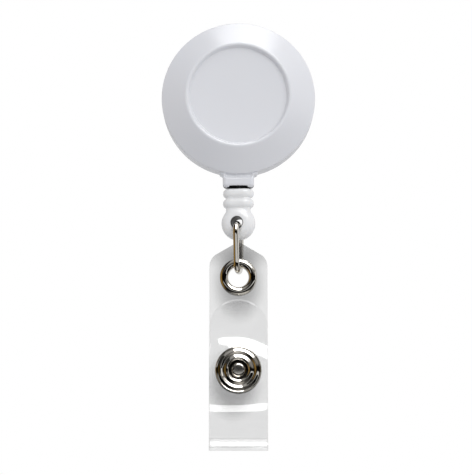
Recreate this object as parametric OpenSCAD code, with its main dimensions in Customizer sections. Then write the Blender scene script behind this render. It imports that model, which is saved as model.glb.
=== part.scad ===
// Retractable badge reel: a round spring reel with a belt clip behind it,
// and a clear snap strap hung from its cord.
// Z is up, the label seat faces -Y, and the origin is the middle of the belt clip's throat, on the case's axis.

/* [Case] */
// Outside diameter of the case
case_d = 32; // [32:0.5:36]
// Depth of the case, from its back face to the front ridge
case_h = 8.8; // [8.8:0.1:10]
// Diameter of the flat label seat
label_d = 20.1; // [16:0.1:20.1]
// Depth of the label seat below the ridge
label_depth = 0.9; // [0.5:0.1:1]
// Wall of the two covers
wall = 1.1; // [1:0.05:1.2]

/* [Neck] */
// Width of the neck that the cord leaves by
neck_w = 6.5; // [6:0.1:7]
// Depth of the neck, front to back
neck_d = 3.8; // [3.6:0.1:4.2]
// How far the neck stands out below the case
neck_len = 2.7; // [2:0.1:4]

/* [Cord and its end piece] */
// Diameter of the nylon cord
cord_d = 0.7; // [0.6:0.05:0.8]
// Width of the ribs on the end piece
rib_w = 6.4; // [6:0.1:7]
// Depth of the ribs, front to back
rib_d = 4.0; // [3.8:0.1:4.4]
// Thickness of one rib
rib_t = 1.9; // [1.6:0.05:2]
// Diameter of the round eye
eye_d = 7.0; // [6.6:0.1:7.4]
// Thickness of the round eye
eye_t = 4.2; // [3.8:0.1:4.4]
// Diameter of the hole in the eye
eye_hole_d = 2.26; // [2.2:0.02:2.4]
// Turn of the end piece and link about the cord
end_twist = -10; // [-12:1:0]

/* [Link] */
// Diameter of the link's wire
wire_d = 1.2; // [1:0.05:1.2]
// Width of the link's head, between wire centres
link_w = 6.2; // [6.2:0.1:6.6]
// Height of the link, between wire centres
link_h = 9.7; // [9.5:0.1:12]

/* [Strap] */
// Width of the vinyl strap
strap_w = 12; // [11.8:0.1:13]
// Thickness of the vinyl
strap_t = 0.6; // [0.5:0.05:0.65]
// Length of the closed strap, from its tip to its fold
strap_len = 42.9; // [42:0.1:50]
// Diameter of the grommet's hole
grommet_hole_d = 4.2; // [4:0.1:4.4]
// Outside diameter of the grommet
grommet_d = 7.7; // [7.4:0.1:8]
// Outside diameter of the snap's post flange
snap_d = 9.4; // [9:0.1:9.6]

/* [Belt clip] */
// Width of the clip's sheet
clip_w = 11; // [9:0.5:12]
// Gap between the clip's plate and leaf at the bend
clip_gap = 1.4; // [1.4:0.1:1.8]
// Thickness of the clip's spring steel
clip_t = 0.5; // [0.4:0.05:0.5]

/* [Hidden] */

$fn = 64;
eps = 0.01;
run_gap = 0.05;

white_plastic = [0.93, 0.93, 0.95];
nickel = [0.78, 0.76, 0.72];
clear_vinyl = [0.88, 0.89, 0.90, 0.45];
spring_steel = [0.45, 0.47, 0.52];
inner_grey = [0.75, 0.75, 0.76];
cord_black = [0.06, 0.06, 0.06];

case_r = case_d / 2;
case_back = -(clip_gap / 2 + clip_t);
label_r = label_d / 2;

// Depths inside the case, from its back face towards the front
back_edge_r = 0.9;
floor_t = 1.2;
seam = 3.3;
front_edge = 5.2;
edge_r = 0.35;
ridge_r = 0.42;
ridge_lean = 0.35;
seat_z = case_h - label_depth;
seat_t = 1.0;
lip_depth = 1.0;
lip_r = case_r - wall - run_gap;
lip_t = 0.65;
inner_r = lip_r - lip_t;

// Post, spool and spring
post_r = 2.2;
post_bore_r = 1.25;
post_top = 6.0;
slot_w = 0.5;
spool_r = case_r - 3;
drum_r = 8.4;
drum_t = 0.8;
spool_back = 1.6;
web_back = 4.95;
web_t = 0.65;
flange_t = 0.6;
wound_r = 11.2;
spring_t = 0.2;
spring_turns = 7;
spring_in_r = 2.5;
spring_out_r = 7.25;

// Everything that hangs lies in one plane, at the middle of the neck
neck_z = 3.2;
hang_y = case_back - neck_z;
neck_bottom = -(case_r + neck_len);
neck_wall = 0.85;
rib_gap = 0.3;
rib_pitch = 2.1;
rib1_z = neck_bottom - rib_gap - rib_t / 2;
rib2_z = rib1_z - rib_pitch;
eye_z = rib2_z - 4.15;
knot_z = rib1_z - 1.35;
knot_r = 0.95;

groove_w = 2;
groove_depth = 0.35;

// Cord: a straight run below lead_z, and a lead from the winding down to it, as [x, z] points in the hanging plane
lead_z = -15.5;
lead_side = wound_r + cord_d / 2;
lead_start_a = -90 + acos(lead_side / -(neck_bottom + 4.2));
lead_route = concat(
    [(lead_side + 0.02) * [cos(lead_start_a), sin(lead_start_a)]],
    [[4, -11.1], [1.8, -13.1], [0.9, -13.95], [0.35, -14.6], [0.08, -15.1], [0, lead_z]]
);

// Link: its wire lies low in the eye's hole
link_top = eye_z - 0.25;
link_bottom = link_top - link_h;
link_corner = 1.85;
link_taper = 7;
link_cut = 0.12;
link_cut_z = eye_z - 2.6;

// Grommet and strap
wire_play = 0.85;
grommet_r = grommet_d / 2;
grommet_bore = grommet_hole_d / 2;
grommet_z = link_bottom + wire_play - grommet_bore;
grommet_rise = 0.85;
washer_t = 0.35;
strap_top = grommet_z + 7.4;
shoulder_r = 3;
shoulder_slope = 30;
tip_r = 1.2;
flap_top = strap_top - 11.8;
snap_z = strap_top - 26.5;
layer_y = 1.3;
fold_r = 2.2;
fold_z = strap_top - strap_len + fold_r + strap_t / 2;
upper_step = strap_top - 20.3;
lower_step = strap_top - 34.3;
step_len = 6;

// Snap: depths from the strap's middle plane towards the front
front_face = layer_y + strap_t / 2;
gap_face = layer_y - strap_t / 2;
post_hole_r = 2.4;
post_barrel_r = 2;
stud_dome_r = 1.48;
stud_neck_r = 1.3;
stud_head_r = 1.6;
ring_wire_r = 0.17;
ring_w = 0.32;

// Belt clip
clip_mid = clip_gap / 2 + clip_t / 2;
clip_top = 11;
clip_low = -9;
leaf_low = -13.5;
leaf_touch = -7;
rivet_r = post_bore_r - run_gap;

// Points on an arc from angle a0 to a1 about c
function arc(c, r, a0, a1, n = 8) =
    [for (i = [0:n]) let (a = a0 + (a1 - a0) * i / n) [c[0] + r * cos(a), c[1] + r * sin(a)]];

// 0 above the step, 1 below it, smooth between
function step_down(z, mid) =
    let (t = min(1, max(0, (mid + step_len / 2 - z) / step_len))) t * t * (3 - 2 * t);

// Middle of the strap's front layer at height z: it stands forward at the snap, and more at the loop
function front_layer(z) = -layer_y * step_down(z, upper_step) - (fold_r - layer_y) * step_down(z, lower_step);

// Middle of the strap's rear layer at height z
function rear_layer(z) = layer_y + (fold_r - layer_y) * step_down(z, lower_step);

// Smooth bump of height h at radius c, used for the rolled rings of the snap's flange
function bump(r, c, h, s) = h * exp(-pow((r - c) / s, 2));

// Middle of the clip's leaf at height z: it leans in to touch the plate, then flares out
function leaf_y(z) =
    z > leaf_touch
        ? clip_mid - (clip_mid + clip_gap / 2 - clip_t / 2 - run_gap) * sin(90 * (clip_top - z) / (clip_top - leaf_touch))
        : -(clip_gap / 2 - clip_t / 2 - run_gap) + 0.075 * pow(leaf_touch - z, 2);

// A closed band of thickness t about a list of points [y, z], for the strap and the leaf
function band(points, t) =
    let (
        last = len(points) - 1,
        side = [for (i = [0:last])
            let (
                a = points[max(0, i - 1)],
                b = points[min(last, i + 1)],
                d = (b - a) / norm(b - a)
            ) [-d[1], d[0]] * t / 2]
    )
    concat([for (i = [0:last]) points[i] + side[i]], [for (i = [last:-1:0]) points[i] - side[i]]);

// Draws its children, made about Z with their front up, to face -Y from the plane y, centred at height z
module facing(y = 0, z = 0) {
    translate([0, y, z]) rotate([90, 0, 0]) children();
}

// Extrudes a [y, z] outline along X, centred
module across(width) {
    rotate([90, 0, 90]) linear_extrude(width, center = true) children();
}

// Extrudes an [x, z] outline along Y, wide enough to cut any piece
module outline_cut() {
    rotate([90, 0, 0]) linear_extrude(60, center = true) children();
}

// A rectangle with round corners, from true circles
module rounded_rect(w, d, r) {
    square([w - 2 * r, d], center = true);
    square([w, d - 2 * r], center = true);
    for (x = [-1, 1], y = [-1, 1]) translate([x * (w / 2 - r), y * (d / 2 - r)]) circle(r);
}

module neck_channel() {
    translate([0, hang_y, neck_bottom - 1])
        linear_extrude(neck_len + 4) rounded_rect(neck_w - 2 * neck_wall, neck_d - 2 * neck_wall + 0.1, 0.8);
}

// One half of the neck, between two depths of the case
module neck_half(from, to) {
    intersection() {
        translate([0, hang_y, neck_bottom]) linear_extrude(neck_len + 0.8) rounded_rect(neck_w, neck_d, 1.2);
        translate([0, 0, neck_bottom + 5]) outline_cut() rounded_rect(neck_w, 10, 0.9);
        translate([-neck_w, case_back - to, neck_bottom - 1]) cube([2 * neck_w, to - from, neck_len + 4]);
    }
}

module front_cover() {
    color(white_plastic) difference() {
        union() {
            facing(case_back) {
                rotate_extrude($fn = 128) polygon(concat(
                    [[0, seat_z], [label_r, seat_z]],
                    arc([label_r + ridge_lean + ridge_r, case_h - ridge_r], ridge_r, 160, 58, 7),
                    arc([case_r - edge_r, front_edge], edge_r, 58, 0, 5),
                    [[case_r, seam], [lip_r, seam], [lip_r, seam - lip_depth], [inner_r, seam - lip_depth]],
                    [[inner_r, front_edge - 0.02], [label_r + 1.6, seat_z - seat_t], [0, seat_z - seat_t]]
                ));
                translate([0, 0, web_back + web_t + 0.15]) difference() {
                    cylinder(r = 3.8, h = seat_z - seat_t - web_back - web_t - 0.15 + eps);
                    translate([0, 0, -1]) cylinder(r = 3, h = 5);
                }
            }
            neck_half(seam, neck_z + neck_d / 2);
        }
        neck_channel();
    }
}

module rear_cover() {
    color(white_plastic) difference() {
        union() {
            facing(case_back) {
                rotate_extrude($fn = 128) polygon(concat(
                    [[0, 0]],
                    arc([case_r - back_edge_r, back_edge_r], back_edge_r, -90, 0, 6),
                    [[case_r, seam], [case_r - wall, seam], [case_r - wall, floor_t], [0, floor_t]]
                ));
                cylinder(r = post_r, h = post_top);
            }
            neck_half(neck_z - neck_d / 2, seam);
        }
        neck_channel();
        facing(case_back) {
            translate([0, 0, -1]) cylinder(r = post_bore_r, h = post_top + 2);
            translate([0, -slot_w / 2, floor_t + 0.6]) cube([post_r + 1, slot_w, post_top]);
        }
    }
}

module clip_plate() {
    color(nickel) difference() {
        intersection() {
            translate([-clip_w / 2, case_back, clip_low]) cube([clip_w, clip_t, clip_top - clip_low]);
            translate([0, 0, clip_low + 15]) outline_cut() rounded_rect(clip_w, 30, 2.5);
        }
        facing(0) cylinder(r = rivet_r + run_gap, h = 5, center = true);
    }
}

module clip_bend() {
    color(nickel) translate([0, 0, clip_top]) across(clip_w) difference() {
        circle(clip_gap / 2 + clip_t);
        circle(clip_gap / 2);
        translate([-5, -10]) square([10, 10]);
    }
}

module clip_leaf() {
    heights = [for (i = [0:24]) clip_top + (leaf_low - clip_top) * i / 24];
    color(nickel) difference() {
        intersection() {
            across(clip_w) polygon(band([for (z = heights) [leaf_y(z), z]], clip_t));
            translate([0, 0, leaf_low + 15]) outline_cut() rounded_rect(clip_w, 30, 4.5);
            translate([-clip_w, -10, leaf_low - 1]) cube([2 * clip_w, 20, clip_top - leaf_low + 1]);
        }
        facing(0) cylinder(r = 3, h = 10, center = true);
    }
}

module clip_rivet() {
    head_r = 2.4;
    head_h = 0.5;
    color(nickel) {
        facing(case_back + clip_t) rotate_extrude() polygon(concat(
            [[0, -head_h]],
            [for (i = [1:6]) [head_r * i / 6, -head_h * sqrt(max(0, 1 - pow(i / 6, 2)))]],
            [[rivet_r, 0], [rivet_r, clip_t + post_top], [1.9, clip_t + post_top]],
            arc([1.55, clip_t + post_top + 0.05], 0.35, 0, 180, 6),
            [[0.8, clip_t + post_top], [0.8, clip_t + 1.5], [0, clip_t + 1.5]]
        ));
    }
}

module spool() {
    bore_r = post_r + run_gap;
    color(white_plastic) facing(case_back) difference() {
        union() {
            translate([0, 0, spool_back]) cylinder(r = spool_r, h = flange_t);
            translate([0, 0, spool_back]) cylinder(r = drum_r, h = web_back - spool_back + eps);
            translate([0, 0, web_back]) cylinder(r = spool_r, h = web_t);
        }
        translate([0, 0, spool_back - 1]) cylinder(r = drum_r - drum_t, h = web_back - spool_back + 1);
        cylinder(r = bore_r, h = case_h);
        // slot for the spring's outer hook, and the hole that the cord is knotted through
        rotate(90) translate([drum_r - drum_t - 0.5, -0.4, spool_back - 1])
            cube([0.95, 0.8, web_back - spool_back + 1]);
        rotate(200) translate([drum_r - 2, 0, 3.6]) rotate([0, 90, 0]) cylinder(d = cord_d + 0.2, h = 3);
        for (a = [0:60:300]) rotate(a + 30) translate([5.2, 0, web_back - 1]) cylinder(r = 1.1, h = 3);
    }
}

module spring_cover() {
    color(inner_grey) facing(case_back) translate([0, 0, floor_t + 0.1]) difference() {
        cylinder(r = drum_r, h = spool_back - floor_t - 0.1);
        translate([0, 0, -1]) cylinder(r = post_r + 0.4, h = 3);
    }
}

// Spiral of flat steel: hooked in the post's slot inside, and in the drum's slot outside
module power_spring() {
    per_turn = 20;
    last = spring_turns * per_turn + per_turn / 4;
    spiral = [for (i = [0:last])
        let (a = 360 * i / per_turn, r = spring_in_r + (spring_out_r - spring_in_r) * i / last) [r * cos(a), r * sin(a)]];
    path = concat([[post_bore_r + 0.1, 0]], spiral, [[0, drum_r - drum_t + 0.2]]);
    color(spring_steel) facing(case_back) translate([0, 0, spool_back + 0.2])
        linear_extrude(web_back - spool_back - 0.4) polygon(band(path, spring_t));
}

module cord_winding() {
    color(cord_black) facing(case_back) translate([0, 0, spool_back + flange_t + eps])
        rotate_extrude($fn = 96) translate([drum_r + eps, 0])
            square([wound_r - drum_r, web_back - spool_back - flange_t - 2 * eps]);
}

// A round wire of diameter d along [x, z] points
module wire(points, d, sides) {
    last = len(points) - 1;
    rings = [for (i = [0:last])
        let (
            a = points[max(0, i - 1)],
            b = points[min(last, i + 1)],
            t = (b - a) / norm(b - a)
        )
        for (j = [0:sides - 1])
            let (c = d / 2 * cos(360 * j / sides), s = d / 2 * sin(360 * j / sides))
            [points[i][0] - t[1] * c, s, points[i][1] + t[0] * c]];
    walls = [for (i = [0:last - 1], j = [0:sides - 1])
        let (k = (j + 1) % sides) [i * sides + j, i * sides + k, (i + 1) * sides + k, (i + 1) * sides + j]];
    polyhedron(rings, concat([[for (j = [sides - 1:-1:0]) j]], walls, [[for (j = [0:sides - 1]) last * sides + j]]));
}

module cord_lead() {
    color(cord_black) translate([0, hang_y, 0]) wire(lead_route, cord_d, 10);
}

module cord_run() {
    color(cord_black) translate([0, hang_y, knot_z - 0.6]) cylinder(d = cord_d, h = lead_z - knot_z + 0.6, $fn = 32);
}

module cord_knot() {
    color(cord_black) translate([0, hang_y, knot_z]) difference() {
        sphere(knot_r);
        cylinder(d = cord_d + 0.02, h = 3 * knot_r, center = true);
    }
}

// One rib: a flat oval with a fully rounded edge
module rib(z) {
    end_x = (rib_w - rib_d) / 2;
    edge = rib_t / 2;
    translate([0, 0, z]) hull() for (x = [-end_x, end_x]) translate([x, 0, 0])
        rotate_extrude($fn = 28) translate([rib_d / 2 - edge, 0]) circle(edge, $fn = 12);
}

// The round eye: a thick lens about Y
module eye() {
    r = eye_d / 2;
    power = 2.6;
    half = [for (i = [0:8]) let (a = 90 * i / 8)
        [r * pow(cos(a), 2 / power), eye_t / 2 * pow(sin(a), 2 / power)]];
    facing(0, eye_z) rotate_extrude() polygon(concat(
        half, [for (i = [7:-1:0]) [half[i][0], -half[i][1]]]
    ));
}

module cord_end() {
    color(white_plastic) translate([0, hang_y, 0]) difference() {
        rotate([0, 0, end_twist]) difference() {
            union() {
                rib(rib1_z);
                rib(rib2_z);
                translate([0, 0, eye_z + 2]) linear_extrude(rib1_z - eye_z - 2) rounded_rect(5, 2.9, 1.4);
                eye();
            }
            facing(0, eye_z) cylinder(d = eye_hole_d, h = 10, center = true);
            for (s = [0, 180]) rotate([0, 0, s])
                translate([-groove_w / 2, eye_t / 2 - groove_depth, eye_z - 8]) cube([groove_w, 3, 8]);
        }
        translate([0, 0, knot_z - 1.05]) cylinder(r = knot_r + 0.15, h = 2.1);
        translate([0, 0, knot_z]) cylinder(d = cord_d + 0.2, h = 6);
    }
}

// A wire loop with round corners, narrower at its foot, whose butted ends lie behind the eye
module link() {
    head_z = link_top - link_corner;
    foot_z = link_bottom + link_corner;
    head_x = link_w / 2 - link_corner;
    foot_x = head_x - (head_z - foot_z) * tan(link_taper);
    side = link_corner * [cos(link_taper), -sin(link_taper)];
    cut_x = head_x + side[0] - (head_z + side[1] - link_cut_z) * tan(link_taper);
    gap = link_cut / 2 * [tan(link_taper), 1];
    color(nickel) translate([0, hang_y, 0]) rotate([0, 0, end_twist + 90]) wire(concat(
        [[cut_x, link_cut_z] + gap],
        arc([head_x, head_z], link_corner, -link_taper, 90),
        arc([-head_x, head_z], link_corner, 90, 180 + link_taper),
        arc([-foot_x, foot_z], link_corner, 180 + link_taper, 270),
        arc([foot_x, foot_z], link_corner, 270, 360 - link_taper),
        [[cut_x, link_cut_z] - gap]
    ), wire_d, 20);
}

// Front outline of the strap's top: shoulders, two slopes and a round tip
module strap_outline() {
    rise = shoulder_r / cos(shoulder_slope);
    half = strap_w / 2;
    shoulder_z = strap_top - (half - shoulder_r) * tan(shoulder_slope) - rise;
    tip_z = strap_top - tip_r / cos(shoulder_slope);
    polygon(concat(
        [[half, fold_z - 20]],
        arc([half - shoulder_r, shoulder_z], shoulder_r, 0, 90 - shoulder_slope),
        arc([0, tip_z], tip_r, 90 - shoulder_slope, 90 + shoulder_slope, 6),
        arc([shoulder_r - half, shoulder_z], shoulder_r, 90 + shoulder_slope, 180),
        [[-half, fold_z - 20]]
    ));
}

module flap_outline() {
    half = strap_w / 2;
    translate([0, flap_top - half]) circle(half);
    translate([-half, fold_z - 20]) square([strap_w, flap_top - half - fold_z + 20]);
}

module strap_front() {
    heights = [for (i = [0:40]) strap_top + (fold_z - strap_top) * i / 40];
    color(clear_vinyl) translate([0, hang_y, 0]) difference() {
        intersection() {
            across(strap_w) polygon(band([for (z = heights) [front_layer(z), z]], strap_t));
            outline_cut() strap_outline();
        }
        facing(0, grommet_z) cylinder(r = grommet_bore + 0.42, h = 6, center = true);
        facing(0, snap_z) cylinder(r = post_hole_r, h = 10, center = true);
    }
}

module strap_fold() {
    color(clear_vinyl) translate([0, hang_y, fold_z]) across(strap_w) difference() {
        circle(fold_r + strap_t / 2);
        circle(fold_r - strap_t / 2);
        translate([-10, 0]) square([20, 10]);
    }
}

module strap_flap() {
    heights = [for (i = [0:30]) fold_z + (flap_top - fold_z) * i / 30];
    color(clear_vinyl) translate([0, hang_y, 0]) difference() {
        intersection() {
            across(strap_w) polygon(band([for (z = heights) [rear_layer(z), z]], strap_t));
            outline_cut() flap_outline();
        }
        facing(0, snap_z) cylinder(r = 1.1, h = 10, center = true);
    }
}

// Barrel with a rolled front flange, and its end rolled over the washer behind
module grommet() {
    mid = (grommet_bore + grommet_r) / 2;
    half = (grommet_r - grommet_bore) / 2;
    front = strap_t / 2;
    back = -strap_t / 2 - washer_t;
    lip = 0.48;
    color(nickel) facing(hang_y, grommet_z) rotate_extrude($fn = 96) polygon(concat(
        [for (i = [0:12]) let (a = 180 - 180 * i / 12) [mid + half * cos(a), front + grommet_rise * sin(a)]],
        [[grommet_bore + 0.4, front], [grommet_bore + 0.4, back]],
        [for (i = [0:10]) let (a = -180 * i / 10) [grommet_bore + lip + lip * cos(a), back + lip * sin(a)]]
    ));
}

module grommet_washer() {
    color(nickel) facing(hang_y, grommet_z) translate([0, 0, -strap_t / 2 - washer_t]) difference() {
        cylinder(r = grommet_r, h = washer_t);
        translate([0, 0, -1]) cylinder(r = grommet_bore + 0.42, h = 3);
    }
}

// Visible face of the snap: rolled rings round an open barrel
module snap_post() {
    edge = snap_d / 2;
    steps = 28;
    face = [for (i = [0:steps]) let (r = post_barrel_r + (edge - post_barrel_r) * i / steps)
        [r, front_face + 0.19 + bump(r, 2.45, 0.28, 0.3) + bump(r, 3.72, 0.3, 0.3) + bump(r, 4.5, 0.14, 0.17)]];
    color(nickel) facing(hang_y, snap_z) rotate_extrude($fn = 96) polygon(concat(
        face,
        [[edge, front_face], [post_hole_r - run_gap, front_face], [post_hole_r - run_gap, gap_face - 0.15]],
        [[post_barrel_r, gap_face - 0.15]]
    ));
}

// Button whose base and dome close the barrel, and whose head snaps into the socket
module snap_stud() {
    base_r = 3.3;
    head_tip = -0.7;
    dome_rise = 0.5;
    color(nickel) facing(hang_y, snap_z) rotate_extrude() polygon(concat(
        [for (i = [0:6]) let (a = 90 * i / 6) [stud_dome_r * sin(a), gap_face + dome_rise * pow(cos(a), 0.6)]],
        [[stud_dome_r, gap_face - 0.18], [post_hole_r, gap_face - 0.2], [post_hole_r, gap_face]],
        [[base_r, gap_face], [base_r, 0.7], [stud_neck_r, 0.7], [stud_neck_r, 0.1], [stud_head_r, 0]],
        [[stud_head_r, head_tip + 0.3]],
        arc([stud_head_r - 0.3, head_tip + 0.3], 0.3, 0, -90, 4),
        [[0, head_tip]]
    ));
}

module snap_socket() {
    color(nickel) facing(hang_y, snap_z) rotate_extrude() polygon([
        [1.1, -gap_face], [3.7, -gap_face], [3.7, -0.75], [2.6, -0.65], [2.5, 0.5], [2.35, 0.64],
        [stud_head_r + 0.06, 0.64], [stud_head_r + 0.06, 0.54], [2.0, 0.54], [2.0, 0.1],
        [stud_head_r + 0.06, 0.1], [stud_head_r + 0.06, -0.8], [1.1, -0.8]
    ]);
}

// Split wire ring that grips the stud's neck
module snap_ring() {
    color(spring_steel) facing(hang_y, snap_z) translate([0, 0, ring_w])
        rotate(105) rotate_extrude(angle = 330) translate([stud_neck_r + ring_wire_r + 0.03, 0])
            circle(ring_wire_r, $fn = 24);
}

module snap_cap() {
    cap_r = snap_d / 2 + 0.1;
    rise = 1.2;
    color(nickel) facing(hang_y, snap_z) rotate_extrude($fn = 96) polygon(concat(
        [[0, -gap_face + 0.15], [1.05, -gap_face + 0.15], [1.05, -front_face], [cap_r - 0.2, -front_face]],
        [for (i = [0:12]) let (a = 90 * i / 12) [cap_r * pow(cos(a), 0.8), -front_face - 0.1 - rise * sin(a)]]
    ));
}

front_cover();
rear_cover();
clip_plate();
clip_bend();
clip_leaf();
clip_rivet();
spool();
spring_cover();
power_spring();
cord_winding();
cord_lead();
cord_run();
cord_knot();
cord_end();
link();
strap_front();
strap_fold();
strap_flap();
grommet();
grommet_washer();
snap_post();
snap_stud();
snap_socket();
snap_ring();
snap_cap();
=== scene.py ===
"""Retractable badge reel: the looks of every piece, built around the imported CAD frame."""
import math

import bmesh
import bpy
import numpy as np
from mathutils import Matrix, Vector


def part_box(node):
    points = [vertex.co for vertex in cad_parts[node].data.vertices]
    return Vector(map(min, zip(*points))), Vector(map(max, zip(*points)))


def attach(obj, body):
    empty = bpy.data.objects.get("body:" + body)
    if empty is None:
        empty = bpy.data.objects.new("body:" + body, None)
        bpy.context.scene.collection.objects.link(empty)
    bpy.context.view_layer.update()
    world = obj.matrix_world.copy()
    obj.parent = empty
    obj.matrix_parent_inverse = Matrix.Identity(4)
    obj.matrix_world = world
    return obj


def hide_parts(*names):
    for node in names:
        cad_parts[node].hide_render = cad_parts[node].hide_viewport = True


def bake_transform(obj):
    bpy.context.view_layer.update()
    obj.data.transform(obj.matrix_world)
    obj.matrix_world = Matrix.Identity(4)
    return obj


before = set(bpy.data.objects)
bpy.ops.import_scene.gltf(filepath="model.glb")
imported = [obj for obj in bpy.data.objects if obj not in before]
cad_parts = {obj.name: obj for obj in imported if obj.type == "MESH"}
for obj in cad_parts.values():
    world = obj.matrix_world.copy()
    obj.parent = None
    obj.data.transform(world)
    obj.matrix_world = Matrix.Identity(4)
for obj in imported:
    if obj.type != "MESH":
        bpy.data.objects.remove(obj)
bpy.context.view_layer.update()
MM = 0.001
SLIVER = 2e-6  # the shortest edge that a boolean may leave, in metres

# ---------------------------------------------------------------- places, in millimetres, read from the frame


def box(node):
    """A node's lowest and highest corners, in millimetres."""
    return [np.array(corner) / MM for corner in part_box(node)]


def middle(node):
    low, high = box(node)
    return (low + high) / 2


# The case. Depths of its profile count forwards from CASE_BACK.
CASE_BACK = box("rear_cover")[1][1]
CASE_R = box("front_cover")[1][0]
CASE_FRONT = CASE_BACK - box("front_cover")[0][1]
SEAM = 3.3  # depth of the line between the covers
SEAT_R, SEAT = 10.05, CASE_FRONT - 0.9
NECK_BOTTOM = box("front_cover")[0][2]
SKIRT_Z = -15.4  # where the neck's skirt meets the case

# The cord's end and the link, on the line at y = HANG that everything below the case hangs on.
HANG = middle("cord_run")[1]
EYE_R, EYE_HOLE_R = 3.5, 1.13
EYE_Z = box("cord_end")[0][2] + EYE_R
RIB_1 = NECK_BOTTOM - 1.25
RIB_2 = RIB_1 - 2.1
KNOT_Z = middle("cord_knot")[2]
CORD_R = 0.35
CORD_TOP = -15.5  # the fixed end of the run inside the neck
TWIST = math.radians(-10)  # of the end piece and the link, about the hang line
WIRE_R = 0.6
LINK_TOP = box("link")[1][2] - WIRE_R
LINK_BOTTOM = box("link")[0][2] + WIRE_R

# The strap. Its front layer starts at HANG; LAYER, LOOP and FOLD_R are how far its layers stand off that line.
GROMMET_Z = middle("grommet")[2]
SNAP_Z = middle("snap_post")[2]
STRAP_TOP = GROMMET_Z + 7.4
STRAP_T, STRAP_HALF = 0.6, 6.0
LAYER, LOOP, FOLD_R = 1.3, 1.95, 2.2
FOLD_Z = box("strap_fold")[0][2] + FOLD_R + STRAP_T / 2
FLAP_TOP = box("strap_flap")[1][2]
FLAP_ROUND_Z = FLAP_TOP - STRAP_HALF  # centre of the flap's round end
TIP_SLOPE = math.radians(30)
TIP_R, SHOULDER_R = 1.2, 3.0

# The clip.
CLIP_TOP, CLIP_LOW, LEAF_LOW = 11.0, box("clip_plate")[0][2], box("clip_leaf")[0][2]
CLIP_T, CLIP_GAP, CLIP_HALF = 0.5, 1.4, 5.5

# ---------------------------------------------------------------- mesh helpers


def new_object(name, verts, faces, sharp=35):
    """An object from vertices in millimetres, shaded smooth except at edges sharper than sharp degrees."""
    mesh = bpy.data.meshes.new(name)
    mesh.from_pydata((np.asarray(verts, float) * MM).tolist(), [], [list(map(int, f)) for f in faces])
    mesh.validate()
    obj = bpy.data.objects.new(name, mesh)
    bpy.context.scene.collection.objects.link(obj)
    shade(obj, sharp)
    return obj


def shade(obj, sharp=35):
    mesh = obj.data
    mesh.polygons.foreach_set("use_smooth", np.ones(len(mesh.polygons), bool))
    mesh.set_sharp_from_angle(angle=math.radians(sharp))
    mesh.update()


def rounded(corners, closed=True, per=6):
    """A polyline through corners of (u, v, radius), each turned with a true arc of its radius."""
    out, n = [], len(corners)
    for i, (u, v, radius) in enumerate(corners):
        here = np.array([u, v], float)
        if radius <= 0 or (not closed and i in (0, n - 1)):
            out.append(here)
            continue
        before = np.array(corners[i - 1][:2], float) - here
        after = np.array(corners[(i + 1) % n][:2], float) - here
        room = min(np.linalg.norm(before), np.linalg.norm(after)) / 2.02
        before, after = before / np.linalg.norm(before), after / np.linalg.norm(after)
        half = math.acos(np.clip(before @ after, -1, 1)) / 2
        radius = min(radius, room * math.tan(half))
        reach = radius / math.tan(half)
        centre = here + (before + after) / np.linalg.norm(before + after) * radius / math.sin(half)
        a, b = here + before * reach - centre, here + after * reach - centre
        turn = math.atan2(a[0] * b[1] - a[1] * b[0], a @ b)
        for k in range(per + 1):
            c, s = math.cos(turn * k / per), math.sin(turn * k / per)
            out.append(centre + np.array([a[0] * c - a[1] * s, a[0] * s + a[1] * c]))
    return out


def lathe(name, profile, y=0.0, z=0.0, sides=160, shape=None, sharp=35):
    """A closed profile of (radius, height) turned about the line along Y at z; heights count from y towards -Y.
    A profile whose ends are on the axis closes at its poles.
    shape(radius, height, angle) may move a point's height."""
    profile = np.array(profile, float)
    poles = profile[0][0] < 1e-6 and profile[-1][0] < 1e-6
    rings = profile[1:-1] if poles else profile
    angles = np.linspace(0, 2 * math.pi, sides, endpoint=False)
    verts = []
    for r, h in rings:
        heights = [h + (shape(r, h, a) if shape else 0) for a in angles]
        verts += [(r * math.cos(a), y - k, z + r * math.sin(a)) for a, k in zip(angles, heights)]
    n, faces = len(rings), []
    for i in range(n - 1 if poles else n):
        j = (i + 1) % n
        for k in range(sides):
            m = (k + 1) % sides
            faces.append((i * sides + k, j * sides + k, j * sides + m, i * sides + m))
    if poles:
        first, last = len(verts), len(verts) + 1
        verts += [(0, y - profile[0][1], z), (0, y - profile[-1][1], z)]
        for k in range(sides):
            m = (k + 1) % sides
            faces.append((first, k, m))
            faces.append((last, (n - 1) * sides + m, (n - 1) * sides + k))
    area = sum(a[0] * b[1] - b[0] * a[1] for a, b in zip(profile, np.roll(profile, -1, 0)))
    if area > 0:
        faces = [f[::-1] for f in faces]
    return new_object(name, verts, faces, sharp)


def tube(name, points, radius, across, sides=32, cap=0.15):
    """A round wire along points in a plane whose normal is across, with its two ends slightly domed."""
    points, across = np.array(points, float), np.array(across, float)
    ahead = np.gradient(points, axis=0)
    ahead /= np.linalg.norm(ahead, axis=1)[:, None]
    stations = [(p, t, radius) for p, t in zip(points, ahead)]
    for end, sign in ((0, -1), (-1, 1)):
        p, t = points[end], ahead[end]
        dome = [
            (p + t * sign * cap * math.sin(a), t, radius * (0.75 + 0.25 * math.cos(a)))
            for a in (0.6, 1.1, 1.5)
        ]
        stations = dome[::-1] + stations if end == 0 else stations + dome
    angles = np.linspace(0, 2 * math.pi, sides, endpoint=False)
    verts = []
    for p, t, r in stations:
        out = np.cross(t, across)
        verts += [p + r * (math.cos(a) * out + math.sin(a) * across) for a in angles]
    faces = [
        (i * sides + k, i * sides + (k + 1) % sides, (i + 1) * sides + (k + 1) % sides, (i + 1) * sides + k)
        for i in range(len(stations) - 1)
        for k in range(sides)
    ]
    faces += [tuple(range(sides))[::-1], tuple((len(stations) - 1) * sides + k for k in range(sides))]
    obj = new_object(name, verts, faces)
    outward(obj)
    return obj


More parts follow.
